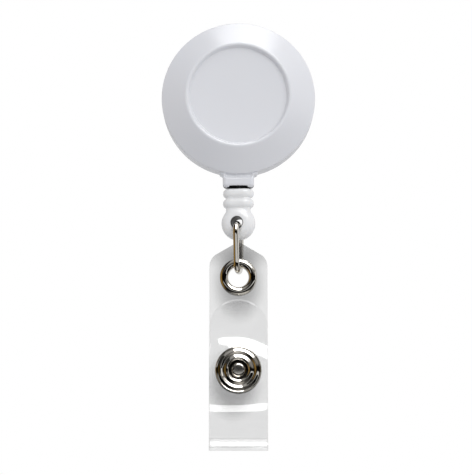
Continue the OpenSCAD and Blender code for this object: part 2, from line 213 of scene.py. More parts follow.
def ribbon(name, path, half_width, thick, edge=0.12, cells=26, lift=None):
    """A strip of sheet along path, points of (y, z), with rounded long edges. half_width has a number for each point,
    and lift(x, z) moves a point along Y."""
    path = np.array(path, float)
    ahead = np.gradient(path, axis=0)
    ahead /= np.linalg.norm(ahead, axis=1)[:, None]
    normal = np.stack([-ahead[:, 1], ahead[:, 0]], 1)
    verts, count = [], 0
    for p, n, w in zip(path, normal, half_width):
        e = min(edge, w * 0.45, thick / 2)
        flat = np.linspace(-(w - e), w - e, cells)
        loop = [(x, thick / 2) for x in flat]
        loop += [(w - e + e * math.sin(a), thick / 2 - e + e * math.cos(a)) for a in (0.55, 1.1)]
        loop += [(w, thick / 2 - e), (w, e - thick / 2)]
        loop += [(w - e + e * math.sin(a), e - thick / 2 - e * math.cos(a)) for a in (1.1, 0.55)]
        loop += [(-x, -t) for x, t in loop]
        count = len(loop)
        for x, t in loop:
            out = lift(x, p[1]) if lift else 0
            verts.append((x, p[0] + n[0] * t + out, p[1] + n[1] * t))
    faces = [
        (i * count + k, i * count + (k + 1) % count, (i + 1) * count + (k + 1) % count, (i + 1) * count + k)
        for i in range(len(path) - 1)
        for k in range(count)
    ]
    last = (len(path) - 1) * count
    faces += [tuple(range(count))[::-1], tuple(last + k for k in range(count))]
    obj = new_object(name, verts, faces)
    outward(obj)
    return obj


def outward(obj):
    """Turns every face to look outwards."""
    bm = bmesh.new()
    bm.from_mesh(obj.data)
    bmesh.ops.recalc_face_normals(bm, faces=bm.faces)
    bm.to_mesh(obj.data)
    bm.free()
    shade(obj)


def combine(obj, other, operation, sharp=35):
    """Applies one exact boolean to obj, removes the other mesh and clears away slivers."""
    modifier = obj.modifiers.new("cut", "BOOLEAN")
    modifier.operation, modifier.solver, modifier.object = operation, "EXACT", other
    result = bpy.data.meshes.new_from_object(obj.evaluated_get(bpy.context.evaluated_depsgraph_get()))
    obj.modifiers.clear()
    obj.data = result
    bpy.data.objects.remove(other)
    bm = bmesh.new()
    bm.from_mesh(result)
    bmesh.ops.remove_doubles(bm, verts=bm.verts, dist=SLIVER)
    bmesh.ops.dissolve_degenerate(bm, dist=SLIVER, edges=bm.edges)
    bm.to_mesh(result)
    bm.free()
    shade(obj, sharp)
    return obj


def drill(obj, radius, z, y0, y1):
    """Cuts a round hole of radius along Y, from y0 to y1."""
    depth = y1 - y0
    bit = lathe("drill", [(0, 0), (radius, 0), (radius, depth), (0, depth)], y1, z, 96)
    return combine(obj, bit, "DIFFERENCE")


# ---------------------------------------------------------------- solids from distance fields


def melt(a, b, k):
    """The smaller of two distances, with a fillet of about k."""
    h = np.clip(0.5 + 0.5 * (b - a) / k, 0, 1)
    return b + (a - b) * h - k * h * (1 - h)


def carve(a, b, k):
    """The larger of two distances, with a rounded edge of about k."""
    return -melt(-a, -b, k)


def disc(p, centre, axis, radius, half, edge, stretch=0.0):
    """Distance to a disc about an axis, with rounded edges; stretch lengthens it along X into an oval."""
    q = p - np.array(centre, float)
    if stretch:
        q = q.copy()
        q[..., 0] -= np.clip(q[..., 0], -stretch, stretch)
    others = [i for i in range(3) if i != axis]
    r = np.hypot(q[..., others[0]], q[..., others[1]]) - (radius - edge)
    h = np.abs(q[..., axis]) - (half - edge)
    return np.hypot(np.maximum(r, 0), np.maximum(h, 0)) + np.minimum(np.maximum(r, h), 0) - edge


def block(p, centre, half, edge):
    q = np.abs(p - np.array(centre, float)) - (np.array(half, float) - edge)
    return np.linalg.norm(np.maximum(q, 0), axis=-1) + np.minimum(q.max(-1), 0) - edge


def isosurface(name, field, low, high, step, turn=0.0, place=(0, 0, 0), sharp=50):
    """Meshes field(points) = 0 in quads, and pulls each vertex onto the surface.
    turn is about Z, before place is added."""
    axes = [np.arange(a, b + step, step) for a, b in zip(low, high)]
    grid = np.stack(np.meshgrid(*axes, indexing="ij"), -1)
    f = field(grid)
    inside = f < 0
    shape = tuple(np.array(f.shape) - 1)
    total, count = np.zeros((*shape, 3)), np.zeros(shape)

    def corner(a, o):
        return a[o[0] : o[0] + shape[0], o[1] : o[1] + shape[1], o[2] : o[2] + shape[2]]

    for axis in range(3):
        for p in (0, 1):
            for q in (0, 1):
                start = [0, 0, 0]
                start[(axis + 1) % 3], start[(axis + 2) % 3] = p, q
                end = list(start)
                end[axis] = 1
                fa, fb = corner(f, start), corner(f, end)
                crossed = (fa < 0) != (fb < 0)
                t = np.where(crossed, fa / np.where(crossed, fa - fb, 1), 0)[..., None]
                hit = corner(grid, start) * (1 - t) + corner(grid, end) * t
                total += np.where(crossed[..., None], hit, 0)
                count += crossed
    cells = count > 0
    index = np.full(shape, -1)
    index[cells] = np.arange(cells.sum())
    verts = total[cells] / count[cells][:, None]
    for _ in range(3):
        here, h = field(verts), step * 0.1
        slope = np.stack([(field(verts + h * e) - field(verts - h * e)) / (2 * h) for e in np.eye(3)], -1)
        move = slope * (here / np.maximum((slope**2).sum(-1), 0.05))[:, None]
        verts = verts - np.clip(move, -step, step)
    faces = []
    for axis in range(3):
        a, b = (axis + 1) % 3, (axis + 2) % 3
        lower = [slice(1, -1)] * 3
        upper = [slice(1, -1)] * 3
        lower[axis], upper[axis] = slice(0, -1), slice(1, None)
        lo, hi = inside[tuple(lower)], inside[tuple(upper)]
        at = np.argwhere(lo != hi)
        rises = lo[tuple(at.T)]
        at[:, a] += 1
        at[:, b] += 1

        def cell(da, db):
            c = at.copy()
            c[:, a] += da
            c[:, b] += db
            return index[tuple(c.T)]

        quads = np.stack([cell(-1, -1), cell(0, -1), cell(0, 0), cell(-1, 0)], 1)
        quads[~rises] = quads[~rises][:, ::-1]
        faces.append(quads)
    c, s = math.cos(turn), math.sin(turn)
    verts = np.stack([verts[:, 0] * c - verts[:, 1] * s, verts[:, 0] * s + verts[:, 1] * c, verts[:, 2]], 1)
    return new_object(name, verts + np.array(place, float), np.concatenate(faces), sharp)


# ---------------------------------------------------------------- materials


def add(tree, kind, inputs=None, **settings):
    """A node with its settings, and its inputs set to a value or linked to a socket."""
    node = tree.nodes.new("ShaderNode" + kind)
    for key, value in settings.items():
        setattr(node, key, value)
    for key, value in (inputs or {}).items():
        if isinstance(value, bpy.types.NodeSocket):
            tree.links.new(value, node.inputs[key])
        else:
            node.inputs[key].default_value = value
    return node


def math_node(tree, operation, a, b=0.0, c=0.0):
    return add(tree, "Math", {0: a, 1: b, 2: c}, operation=operation).outputs[0]


def material(name):
    mat = bpy.data.materials.new(name)
    mat.use_nodes = True
    mat.node_tree.nodes.clear()
    tree = mat.node_tree
    return mat, tree, add(tree, "OutputMaterial"), add(tree, "TexCoord").outputs["Object"]


def mix(tree, share, one, two):
    """A colour from one to two by share; each is a socket or (r, g, b)."""
    one, two = [(*c, 1) if isinstance(c, tuple) else c for c in (one, two)]
    return add(tree, "MixRGB", {"Fac": share, "Color1": one, "Color2": two}).outputs[0]


def ramp(tree, value, start, end, low=0.0, high=1.0, **settings):
    """Goes from low to high while value goes from start to end."""
    inputs = {"Value": value, "From Min": start, "From Max": end, "To Min": low, "To Max": high}
    return add(tree, "MapRange", inputs, **settings).outputs[0]


def grain(tree, coords, size_mm, detail=3.0, rough=0.55):
    inputs = {"Vector": coords, "Scale": 1 / (size_mm * MM), "Detail": detail, "Roughness": rough}
    return add(tree, "TexNoise", inputs).outputs["Fac"]


def bump(tree, height, depth_mm, strength=1.0, normal=None):
    inputs = {"Height": height, "Distance": depth_mm * MM, "Strength": strength}
    if normal is not None:
        inputs["Normal"] = normal
    return add(tree, "Bump", inputs).outputs["Normal"]


def span(tree, value, low, high):
    """Maps 0..1 to low..high."""
    return ramp(tree, value, 0.0, 1.0, low, high)


def darker(colour, share):
    return tuple(c * share for c in colour)


def plastic(name, colour, rough=0.26, glow=0.22, painted_shade=None):
    """Moulded gloss plastic: faint flow marks, a fine texture from the mould, and light that spreads under the skin.
    Its last argument is (z, turn, scale, radius) of a rounded place about the hang line that is painted near black,
    with less gloss and glow, as painted shade inside a hole or recess."""
    mat, tree, out, coords = material(name)
    flow, fine = grain(tree, coords, 6.0, 2.0), grain(tree, coords, 0.16, 2.0)
    tone = mix(tree, flow, darker(colour, 0.985), colour)
    gloss = 0.5
    # Painted shade: a dark spot that stands in for the shade inside a hole or recess.
    if painted_shade:
        z, turn, scale, radius = painted_shade
        centred = add(tree, "Mapping", {"Vector": coords, "Location": (0, -HANG * MM, -z * MM)}).outputs[0]
        turned = add(tree, "Mapping", {"Vector": centred, "Rotation": (0, 0, -turn)}).outputs[0]
        scaled = add(tree, "VectorMath", {0: turned, 1: scale}, operation="MULTIPLY").outputs[0]
        away = add(tree, "VectorMath", {0: scaled}, operation="LENGTH").outputs["Value"]
        painted_dark = ramp(tree, away, radius * MM, (radius + 0.15) * MM, 0.96, 0.0)
        tone = mix(tree, painted_dark, tone, SHADE_BLACK)
        unshaded = math_node(tree, "SUBTRACT", 1.0, painted_dark)
        glow, gloss = math_node(tree, "MULTIPLY", unshaded, glow), math_node(tree, "MULTIPLY", unshaded, 0.5)
    normal = bump(tree, fine, 0.002, 0.25, bump(tree, flow, 0.02, 0.15))
    shader = add(
        tree,
        "BsdfPrincipled",
        {
            "Base Color": tone,
            "Roughness": span(tree, grain(tree, coords, 2.5), rough - 0.02, rough + 0.02),
            "IOR": 1.49,
            "Specular IOR Level": gloss,
            "Subsurface Weight": glow,
            "Subsurface Radius": (1.0, 0.95, 0.9),
            "Subsurface Scale": 0.9 * MM,
            "Normal": normal,
        },
    )
    tree.links.new(shader.outputs[0], out.inputs[0])
    return mat


def metal(name, colour, rough=0.1, wear=0.35, stretch=(1, 1, 1), size=0.25, shade_beyond=None):
    """Plated metal: micro scratches, uneven polish and a tone a little darker in random spots.
    Its last argument is (z, radius): further than radius from the line along Y at height z, the metal is painted near
    black as painted shade, for the deep barrel round a snap's stud."""
    mat, tree, out, coords = material(name)
    scaled = add(tree, "Mapping", {"Vector": coords, "Scale": stretch}).outputs[0]
    scratch, patch = grain(tree, scaled, size, 5.0, 0.65), grain(tree, coords, 1.3, 3.0)
    tone = mix(tree, patch, darker(colour, 0.86), colour)
    # Painted shade: beyond the radius the tone goes near black.
    if shade_beyond:
        z, radius = shade_beyond
        place = {"Vector": coords, "Location": (0, 0, -z * MM), "Scale": (1, 0, 1)}
        centred = add(tree, "Mapping", place).outputs[0]
        away = add(tree, "VectorMath", {0: centred}, operation="LENGTH").outputs["Value"]
        tone = mix(tree, ramp(tree, away, radius * MM, (radius + 0.08) * MM), tone, darker(SHADE_BLACK, 1.5))
    shader = add(
        tree,
        "BsdfPrincipled",
        {
            "Base Color": tone,
            "Metallic": 1.0,
            "Roughness": span(tree, patch, rough * 0.7, rough * 1.5),
            "Normal": bump(tree, scratch, 0.004, wear),
        },
    )
    tree.links.new(shader.outputs[0], out.inputs[0])
    return mat


def vinyl(name, clear, painted_shadows=(), index=1.55, rim=None):
    """Clear flexible vinyl with plain gloss and a faint grey cast that varies at random, with painted soft shadows
    that darken it round the metal parts.
    clear is what each face lets through; each painted shadow is (x, z, half width, half height, depth) in
    millimetres.
    rim is (z, radius) of a round end whose cut edge gets a painted highlight along its top: a thin glowing line that
    stands in for the light mirrored there."""
    mat, tree, out, coords = material(name)
    place = add(tree, "SeparateXYZ", {"Vector": coords}).outputs

    def distance(x, z, wide=1, tall=1):
        """From (x, z), in units of wide and tall."""
        squares = []
        for axis, centre, half in (("X", x, wide), ("Z", z, tall)):
            offset = math_node(tree, "DIVIDE", math_node(tree, "SUBTRACT", place[axis], centre * MM), half * MM)
            squares.append(math_node(tree, "MULTIPLY", offset, offset))
        return math_node(tree, "SQRT", math_node(tree, "ADD", *squares))

    shade_and_haze = span(tree, grain(tree, coords, 5.0, 2.0), -0.008, 0.012)
    # Painted shadows: soft dark spots that stand in for the shadows of the metal parts, seen through the clear vinyl.
    for x, z, wide, tall, depth in painted_shadows:
        away = distance(x, z, wide, tall)
        shade_and_haze = math_node(tree, "ADD", shade_and_haze, ramp(tree, away, 0.3, 1.0, depth, 0.0, interpolation_type="SMOOTHSTEP"))
    through = math_node(tree, "SUBTRACT", clear, shade_and_haze)
    tint = add(tree, "CombineColor", {0: through, 1: through, 2: through}).outputs[0]
    normal = bump(tree, grain(tree, coords, 2.4, 2.0), 0.012, 0.2)
    back = add(tree, "NewGeometry").outputs["Backfacing"]
    fresnel = add(tree, "Fresnel", {"IOR": span(tree, back, index, 1 / index), "Normal": normal}).outputs[0]
    through = add(tree, "BsdfTransparent", {"Color": tint}).outputs[0]
    milk = add(tree, "BsdfTranslucent", {"Color": (0.9, 0.91, 0.92, 1)}).outputs[0]
    body = add(tree, "MixShader", {0: 0.03, 1: through, 2: milk}).outputs[0]
    if rim:
        z, radius = rim
        edge = ramp(tree, distance(0, z), radius - 0.34, radius - 0.26, 0.0, 0.75)
        top = ramp(tree, place["Z"], (z + 0.76 * radius) * MM, (z + 0.88 * radius) * MM)
        share = math_node(tree, "MULTIPLY", edge, top)
        # Painted highlight: this emission makes a thin line along the round end's top edge glow.
        pale = add(tree, "Emission", {"Color": (1, 1, 1, 1), "Strength": 1.4}).outputs[0]
        body = add(tree, "MixShader", {0: share, 1: body, 2: pale}).outputs[0]
    gloss = add(tree, "BsdfGlossy", {"Color": (1, 1, 1, 1), "Roughness": 0.05, "Normal": normal}).outputs[0]
    mixed = add(tree, "MixShader", {0: fresnel, 1: body, 2: gloss}).outputs[0]
    tree.links.new(mixed, out.inputs[0])
    return mat


def braid(name, colour):
    """Braided nylon: two crossing sets of strands about the cord."""
    mat, tree, out, coords = material(name)
    waves = []
    for lay in (0.65, -0.65):
        turned = add(tree, "Mapping", {"Vector": coords, "Rotation": (0, lay, 0)}).outputs[0]
        inputs = {"Vector": turned, "Scale": 1 / (2.6 * MM), "Distortion": 0.6}
        waves.append(add(tree, "TexWave", inputs, bands_direction="Z").outputs["Fac"])
    weave = math_node(tree, "MAXIMUM", *waves)
    tone = mix(tree, weave, darker(colour, 0.7), colour)
    shader = add(
        tree,
        "BsdfPrincipled",
        {"Base Color": tone, "Roughness": 0.6, "Sheen Weight": 0.3, "Normal": bump(tree, weave, 0.06, 0.6)},
    )
    tree.links.new(shader.outputs[0], out.inputs[0])
    return mat


# Near black for painted shade in holes, recesses and the snap's deep barrel.
SHADE_BLACK = (0.02, 0.018, 0.016)
# Painted shade: the neck's mouth and bore are painted near black, standing in for the shade inside them.
WHITE = plastic("white_gloss_plastic", (0.80, 0.81, 0.84), painted_shade=(NECK_BOTTOM + 0.6, 0, (0.42, 1, 1), 1.35))
# Painted shade: the eye's hole round the link is painted near black, standing in for the shade inside it.
WHITE_SHADED_EYE = plastic("white_plastic_shaded_eye", (0.90, 0.905, 0.905), painted_shade=(EYE_Z, TWIST, (1, 0, 1), 1.25))
INNER = plastic("grey_inner_plastic", (0.6, 0.6, 0.61), 0.4, 0.1)
NICKEL = metal("polished_nickel", (0.86, 0.83, 0.77), 0.04, 0.1)
# Painted shade in the snap's barrel round the stud's dome.
SPUN = metal("spun_nickel", (0.8, 0.77, 0.72), 0.17, 0.4, shade_beyond=(SNAP_Z, 1.49))
CLIP_STEEL = metal("plated_clip_steel", (0.78, 0.77, 0.74), 0.2, 0.5, (1, 1, 14), 0.5)
SPRING = metal("spring_steel", (0.42, 0.44, 0.49), 0.28, 0.5, (12, 12, 1), 0.4)
VINYL = vinyl(
    "clear_vinyl_front",
    0.935,
    [
        # Painted shadows round the grommet and below and left of the snap.
        (0, GROMMET_Z + 7, 12, 6.5, 0.2),
        (0, GROMMET_Z - 1.3, 6.3, 9.2, 0.26),
        (-1.1, SNAP_Z - 2.9, 6.6, 8.6, 0.28),
    ],
)
# The flap's round end gets a painted highlight along its top edge.
VINYL_FLAP = vinyl("clear_vinyl_flap", 0.99, index=1.25, rim=(FLAP_ROUND_Z, STRAP_HALF))
NYLON = braid("braided_nylon", (0.035, 0.034, 0.033))


def finish(obj, mat, slot, body, *nodes):
    """Gives a piece its material, the body that it rides on, and the CAD nodes it stands for; slot is not used."""
    obj.data.materials.clear()
    obj.data.materials.append(mat)
    if body:
        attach(obj, body)
    if nodes:
        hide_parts(*nodes)
    return obj


# ---------------------------------------------------------------- camera, light and backdrop

SCENE = bpy.context.scene
SCENE.view_settings.view_transform = "Standard"


def look(obj, place, target):
    obj.location = place
    obj.rotation_euler = (Vector(target) - Vector(place)).to_track_quat("-Z", "Y").to_euler()


def make_camera():
    data = bpy.data.cameras.new("camera")
    data.sensor_width, data.lens = 36, 117
    data.clip_start, data.clip_end = 0.01, 20
    camera = bpy.data.objects.new("camera", data)
    SCENE.collection.objects.link(camera)
    SCENE.camera = camera
    rise = math.radians(-8)
    target = Vector((-0.0005, HANG * MM, -0.0291))
    look(camera, target + 0.32 * Vector((0, -math.cos(rise), math.sin(rise))), target)


def softbox(name, azimuth, elevation, away, width, height, radiance, mirrored=False):
    """An area light that faces the object, and either lights it or is mirrored in it.
    radiance is what a mirror would show."""
    data = bpy.data.lights.new(name, "AREA")
    data.shape, data.size, data.size_y = "RECTANGLE", width, height
    data.energy = radiance * math.pi * width * height
    light = bpy.data.objects.new(name, data)
    SCENE.collection.objects.link(light)
    a, e = math.radians(azimuth), math.radians(elevation)
    centre = Vector((0, HANG * MM, -0.03))
    towards = Vector((math.sin(a) * math.cos(e), -math.cos(a) * math.cos(e), math.sin(e)))
    look(light, centre + away * towards, centre)
    light.visible_camera = False
    light.visible_diffuse, light.visible_glossy = not mirrored, mirrored


def make_world():
    """White where the camera looks past the object, and for reflections a pale room with a dark side towards -Y."""
    world = bpy.data.worlds.new("studio")
    SCENE.world = world
    world.use_nodes = True
    tree = world.node_tree
    tree.nodes.clear()
    way = add(tree, "SeparateXYZ", {"Vector": add(tree, "TexCoord").outputs["Generated"]}).outputs
    up = math_node(tree, "MULTIPLY_ADD", way["Z"], 0.5, 0.5)
    heights = add(tree, "ValToRGB", {"Fac": up})
    stops = heights.color_ramp.elements
    stops[0].color, stops[1].color = (0.6, 0.6, 0.6, 1), (0.2, 0.2, 0.2, 1)
    for at, tone in ((0.1, 0.6), (0.16, 0.07), (0.3, 0.003), (0.585, 0.002), (0.64, 0.22), (0.9, 0.3)):
        stops.new(at).color = (tone, tone * 0.96, tone * 0.9, 1)
    dim = ramp(tree, way["X"], -0.5, 0.1, 0.1, 1.0)
    seen = add(tree, "VectorMath", {0: heights.outputs[0], 1: dim}, operation="MULTIPLY").outputs[0]
    seen = mix(tree, ramp(tree, way["X"], -0.7, -0.97, 0.0, 0.85), seen, (0.36, 0.22, 0.06))
    seen = mix(tree, ramp(tree, way["Y"], 0.5, 0.95), seen, (0.75, 0.75, 0.75))
    corner = ramp(tree, math_node(tree, "ADD", way["X"], way["Y"]), 0.75, 1.2)
    seen = mix(tree, corner, seen, (0.75, 0.75, 0.75))
    path = add(tree, "LightPath").outputs
    soft = mix(tree, up, (0.43, 0.43, 0.44), (0.93, 0.93, 0.95))
    shown = mix(tree, path["Is Camera Ray"], mix(tree, path["Is Glossy Ray"], soft, seen), (1.0, 1.0, 1.0))
    tree.links.new(add(tree, "Background", {"Color": shown}).outputs[0], add(tree, "OutputWorld").inputs[0])


def make_floor():
    """A plain pale floor, far enough below for the cord to be pulled right out."""
    radius, z, sides = 3000, -1150, 96
    angles = np.linspace(0, 2 * math.pi, sides, endpoint=False)
    verts = [(radius * math.cos(a), radius * math.sin(a), z) for a in angles]
    floor = new_object("floor", verts, [tuple(range(sides))])
    mat, tree, out, coords = material("pale_floor")
    tone = mix(tree, grain(tree, coords, 300, 2), (0.86, 0.86, 0.86), (0.9, 0.9, 0.9))
    diffuse = add(tree, "BsdfDiffuse", {"Color": tone}).outputs[0]
    glow = add(tree, "Emission", {"Color": (1, 1, 1, 1), "Strength": 0.1}).outputs[0]
    tree.links.new(add(tree, "AddShader", {0: diffuse, 1: glow}).outputs[0], out.inputs[0])
    floor.data.materials.append(mat)
    floor.visible_diffuse = floor.visible_glossy = False


# ---------------------------------------------------------------- the case


def make_case():
    """Both covers, each with its half of the neck; the seam is a narrow step all round."""
    step_r = CASE_R - 0.12
    front = rounded(
        [
            (0, SEAT, 0),
            (SEAT_R, SEAT, 0.16),
            (SEAT_R + 0.42, CASE_FRONT, 0.45),
            (SEAT_R + 0.9, CASE_FRONT, 0.6),
            (CASE_R, 5.38, 0.4),
            (CASE_R, SEAM + 0.03, 0.06),
            (step_r, SEAM + 0.03, 0),
            (step_r, SEAM + 0.2, 0),
            (CASE_R - 1.15, SEAM + 0.2, 0),
            (CASE_R - 1.15, SEAM - 1.0, 0),
            (CASE_R - 1.8, SEAM - 1.0, 0),
            (CASE_R - 1.8, 5.18, 0),
            (SEAT_R + 1.6, SEAT - 1, 0),
            (0, SEAT - 1, 0),
        ],
        closed=False,
    )
    rear = rounded(
        [
            (0, 0, 0),
            (CASE_R, 0, 0.9),
            (CASE_R, SEAM - 0.03, 0.06),
            (step_r, SEAM - 0.03, 0),
            (step_r, SEAM - 0.15, 0),
            (CASE_R - 1.1, SEAM - 0.15, 0),
            (CASE_R - 1.1, 1.2, 0.1),
            (0, 1.2, 0),
        ],
        closed=False,
        per=8,
    )
    front_cover = lathe("front_cover_moulding", front, CASE_BACK, 0, 256)
    rear_cover = lathe("rear_cover_moulding", rear, CASE_BACK, 0, 256)

    def neck(p, low, high):
        """Half of the hollow neck, between two depths of y."""
        outer = block(p, (0, HANG, NECK_BOTTOM + 2.2), (3.25, 1.9, 2.2), 0.75)
        skirt = block(p, (0, HANG, SKIRT_Z), (4.0, 1.75, 0.75), 0.5)
        outer = melt(outer, skirt, 0.5)
        bore = block(p, (0, HANG, NECK_BOTTOM), (2.35, 1.0, 4.2), 0.5)
        notch = block(p, (0, HANG - 1.9, NECK_BOTTOM), (1.95, 1.0, 0.32), 0.25)
        relief = block(p, (0, HANG - 2.35, SKIRT_Z - 0.85), (2.9, 0.9, 0.5), 0.45)
        outer = carve(carve(carve(outer, -bore, 0.18), -notch, 0.1), -relief, 0.3)
        return carve(carve(outer, p[..., 1] - high, 0.06), low - p[..., 1], 0.06)

    seam_y = CASE_BACK - SEAM
    corners = (-4.3, HANG - 2.2, NECK_BOTTOM - 0.2), (4.3, HANG + 2.2, SKIRT_Z + 1.2)
    for cover, low, high, name in (
        (front_cover, -99, seam_y - 0.02, "neck_front"),
        (rear_cover, seam_y + 0.02, 99, "neck_rear"),
    ):
        half = isosurface(name, lambda p: neck(p, low, high), *corners, 0.07)
        combine(cover, half, "UNION", 30)
    rivet_hole_r, post_r, post_top = 1.25, 2.2, 6.0
    post = rounded([(0, -0.1, 0), (post_r, -0.1, 0), (post_r, post_top, 0.15), (0, post_top, 0)], closed=False, per=3)
    combine(rear_cover, lathe("post", post, CASE_BACK - 1.0, 0, 64), "UNION", 30)
    drill(rear_cover, rivet_hole_r, 0, CASE_BACK - 9, CASE_BACK + 1)
    finish(front_cover, WHITE, "white_case", "case", "front_cover")
    finish(rear_cover, WHITE, "white_case", "case", "rear_cover")


def make_clip():
    """One strip of plated spring steel: plate, bend and a leaf that leans in to the plate and flares at its end."""
    mid = (CLIP_GAP + CLIP_T) / 2
    nearest = (CLIP_GAP - CLIP_T) / 2 - 0.05
    touch = -7.0
    plate_corner, leaf_corner, edge = 2.5, 4.5, 0.12

    def leaf_y(z):
        if z > touch:
            return mid - (mid + nearest) * math.sin(math.pi / 2 * (CLIP_TOP - z) / (CLIP_TOP - touch))
        return -nearest + 0.075 * (touch - z) ** 2

    def end_width(z, low, corner):
        """Half width near a rounded end."""
        d = max(0.0, corner - (z - low))
        return CLIP_HALF - corner + math.sqrt(max(corner**2 - d**2, 0)) if d else CLIP_HALF

    def heights(low, corner):
        close = [low + corner * (1 - math.cos(a)) for a in np.linspace(0.03, math.pi / 2, 18)]
        return close + list(np.linspace(close[-1], CLIP_TOP, 60))[1:]

    zs = heights(CLIP_LOW, plate_corner)
    bend = [(-mid * math.cos(a), CLIP_TOP + mid * math.sin(a)) for a in np.linspace(0, math.pi, 28)][1:]
    path = [(-mid, z) for z in zs] + bend
    widths = [end_width(z, CLIP_LOW, plate_corner) for z in zs] + [CLIP_HALF] * len(bend)
    plate = ribbon("clip_plate_and_bend", path, widths, CLIP_T, edge)
    drill(plate, 1.26, 0, -2, 0)
    zs = heights(LEAF_LOW, leaf_corner)[::-1]
    widths = [end_width(z, LEAF_LOW, leaf_corner) for z in zs]
    leaf = ribbon("clip_leaf_strip", [(leaf_y(z), z) for z in zs], widths, CLIP_T, edge)
    drill(leaf, 3.0, 0, -2, 2)
    finish(plate, CLIP_STEEL, "nickel", None, "clip_plate", "clip_bend")
    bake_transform(plate)
    finish(leaf, CLIP_STEEL, "nickel", "leaf", "clip_leaf")
    head_r, shank_r, tail_r, tail, end = 2.4, 1.2, 1.9, 6.5, 6.85
    rivet = [(head_r * math.sin(a), -0.5 * math.cos(a), 0) for a in np.linspace(0, math.pi / 2, 12)]
    rivet += [(head_r, -0.02, 0), (shank_r, 0, 0), (shank_r, tail, 0)]
    rivet += [(tail_r, tail, 0.1), (tail_r, end, 0.2), (0, end, 0)]
    rivet = lathe("clip_rivet_body", rounded(rivet, closed=False), CASE_BACK + CLIP_T, 0, 96)
    finish(rivet, NICKEL, "nickel", "case", "clip_rivet")


# ---------------------------------------------------------------- cord, end piece and link


def make_cord_end():
    """One moulding: two fat ribs, a narrow core and a round eye for the link."""

    def field(q):
        upper = disc(q, (0, 0, RIB_1), 2, 2.0, 0.95, 0.86, 1.2)
        lower = disc(q, (0, 0, RIB_2), 2, 2.0, 0.98, 0.88, 1.22)
        core = block(q, (0, 0, (EYE_Z + RIB_1) / 2), (2.55, 1.45, (RIB_1 - EYE_Z) / 2), 1.2)
        eye = disc(q, (0, 0, EYE_Z), 1, EYE_R, 2.1, 1.95)
        body = melt(melt(melt(upper, lower, 0.12), core, 0.12), eye, 0.22)
        hole = disc(q, (0, 0, EYE_Z), 1, EYE_HOLE_R, 9, 0.01)
        body = carve(body, -hole, 0.35)
        for s in (1, -1):
            groove = np.hypot(q[..., 0], q[..., 1] - s * 2.78) - 1.1
            groove = np.maximum(groove, q[..., 2] - EYE_Z)
            body = carve(body, -groove, 0.25)
        chamber = disc(q, (0, 0, KNOT_Z), 2, 1.1, 1.05, 0.2)
        way_in = np.maximum(np.hypot(q[..., 0], q[..., 1]) - CORD_R - 0.1, KNOT_Z - q[..., 2])
        return carve(carve(body, -chamber, 0.05), -way_in, 0.15)

    low, high = (-3.7, -2.3, EYE_Z - 3.7), (3.7, 2.3, RIB_1 + 1.15)
    obj = isosurface("cord_end_moulding", field, low, high, 0.09, TWIST, (0, HANG, 0))
    # Its material has painted shade in the eye's hole.
    finish(obj, WHITE_SHADED_EYE, "white_case", "end_piece", "cord_end")


def make_cord():
    """The cord's run: a nylon tube from its fixed top down to the knot."""
    heights = np.linspace(CORD_TOP, KNOT_Z - 0.4, 40)
    run = tube("cord_run_nylon", [(0, HANG, z) for z in heights], CORD_R, (1, 0, 0), 20, 0.05)
    finish(run, NYLON, "cord", None, "cord_run")
    start, end = (0, HANG * MM, (CORD_TOP + 0.05) * MM), (0, HANG * MM, (KNOT_Z + 0.2) * MM)
    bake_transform(run)
    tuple(start)
    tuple(end)


def make_link():
    """One closed wire loop, narrower at its foot, with its butted ends behind the eye."""
    head, foot = 3.3, 2.1
    bends = [(head, LINK_TOP, 1.8), (-head, LINK_TOP, 1.8), (-foot, LINK_BOTTOM, 1.9), (foot, LINK_BOTTOM, 1.9)]
    ends = EYE_Z - 2.6
    side = head + (foot - head) * (LINK_TOP - ends) / (LINK_TOP - LINK_BOTTOM)
    loop = rounded([(side, ends + 0.02, 0), *bends, (side, ends - 0.02, 0)], closed=False, per=16)
    points = [loop[0]]
    for here in loop[1:]:
        gap = here - points[-1]
        pieces = max(1, round(float(np.linalg.norm(gap)) / 0.4))
        start = points[-1]
        points += [start + gap * k / pieces for k in range(1, pieces + 1)]
    ahead = np.array([-math.sin(TWIST), math.cos(TWIST), 0])
    across = np.array([math.cos(TWIST), math.sin(TWIST), 0])
    path = [u * ahead + np.array([0, HANG, z]) for u, z in points]
    finish(tube("wire_link_loop", path, WIRE_R, across, 40, 0.01), NICKEL, "nickel", "wire_link", "link")


# ---------------------------------------------------------------- strap, grommet and snap


def step_down(z, mid, length):
    """Rises smoothly from 0 to 1 as z falls through length about mid."""
    t = min(1.0, max(0.0, (mid + length / 2 - z) / length))
    return t * t * (3 - 2 * t)


def front_layer(x, z):
    """How the front layer stands off: forward over the flap's end, in a slanting step, and again below the snap."""
    over_z, over_length = STRAP_TOP - 21.2 - 0.045 * (x + 0.5) ** 2, 4.0 + 4.5 * step_down(x, -3.2, 3.0)
    under_z, under_length = STRAP_TOP - 34.4 + 0.0275 * x + 0.0082 * x * x, 1.9 + 0.075 * x + 0.029 * x * x
    return -LAYER * step_down(z, over_z, over_length) - (LOOP - LAYER) * step_down(z, under_z, under_length)


def rear_layer(z):
    """How far the flap stands behind the hang line."""
    return LAYER + (FOLD_R - LAYER) * step_down(z, STRAP_TOP - 34.3, 6.0)


def tip_width(z):
    """Half width of the strap's pointed top."""
    inner = STRAP_HALF - SHOULDER_R
    shoulder = STRAP_TOP - inner * math.tan(TIP_SLOPE) - SHOULDER_R / math.cos(TIP_SLOPE)
    tip = STRAP_TOP - TIP_R / math.cos(TIP_SLOPE)
    if z > tip + TIP_R * math.cos(TIP_SLOPE):
        return math.sqrt(max(TIP_R**2 - (z - tip) ** 2, 0))
    if z > shoulder + SHOULDER_R * math.cos(TIP_SLOPE):
        return (STRAP_TOP - z) / math.tan(TIP_SLOPE)
    return inner + math.sqrt(max(SHOULDER_R**2 - (z - shoulder) ** 2, 0)) if z > shoulder else STRAP_HALF


